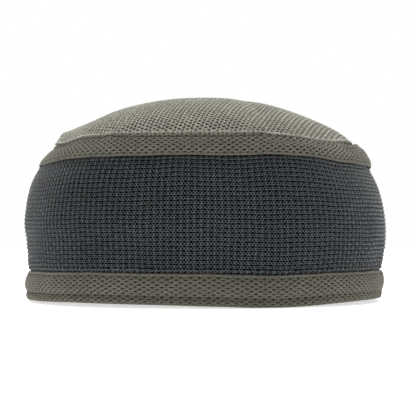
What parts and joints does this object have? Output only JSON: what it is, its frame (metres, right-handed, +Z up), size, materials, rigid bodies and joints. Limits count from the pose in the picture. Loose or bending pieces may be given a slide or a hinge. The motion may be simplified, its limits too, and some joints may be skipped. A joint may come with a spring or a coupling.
{
  "type": "kufi cap",
  "caption": "Round brimless kufi cap of mesh cloth: a low domed crown, a leaning upper trim, a wide bulging side band in a contrasting colour and a folded hem.",
  "frame": {"origin": "middle of the rim, on the surface that the cap rests on", "axes": "+Z up through the crown, -Y towards the front of the cap, +X across it from ear to ear"},
  "size_m": [0.1779, 0.194, 0.0998],
  "materials": {
    "crown_mesh": "matte open sports mesh, olive grey",
    "trim_mesh": "matte open sports mesh, olive grey, folded lower edge",
    "band_mesh": "matte fine figured mesh, dark slate",
    "hem_mesh": "matte open sports mesh, olive grey, folded and stitched"
  },
  "bodies": {
    "root": {"crown": "crown_mesh", "upper_trim": "trim_mesh", "side_band": "band_mesh", "hem": "hem_mesh"}
  },
  "joints": []
}
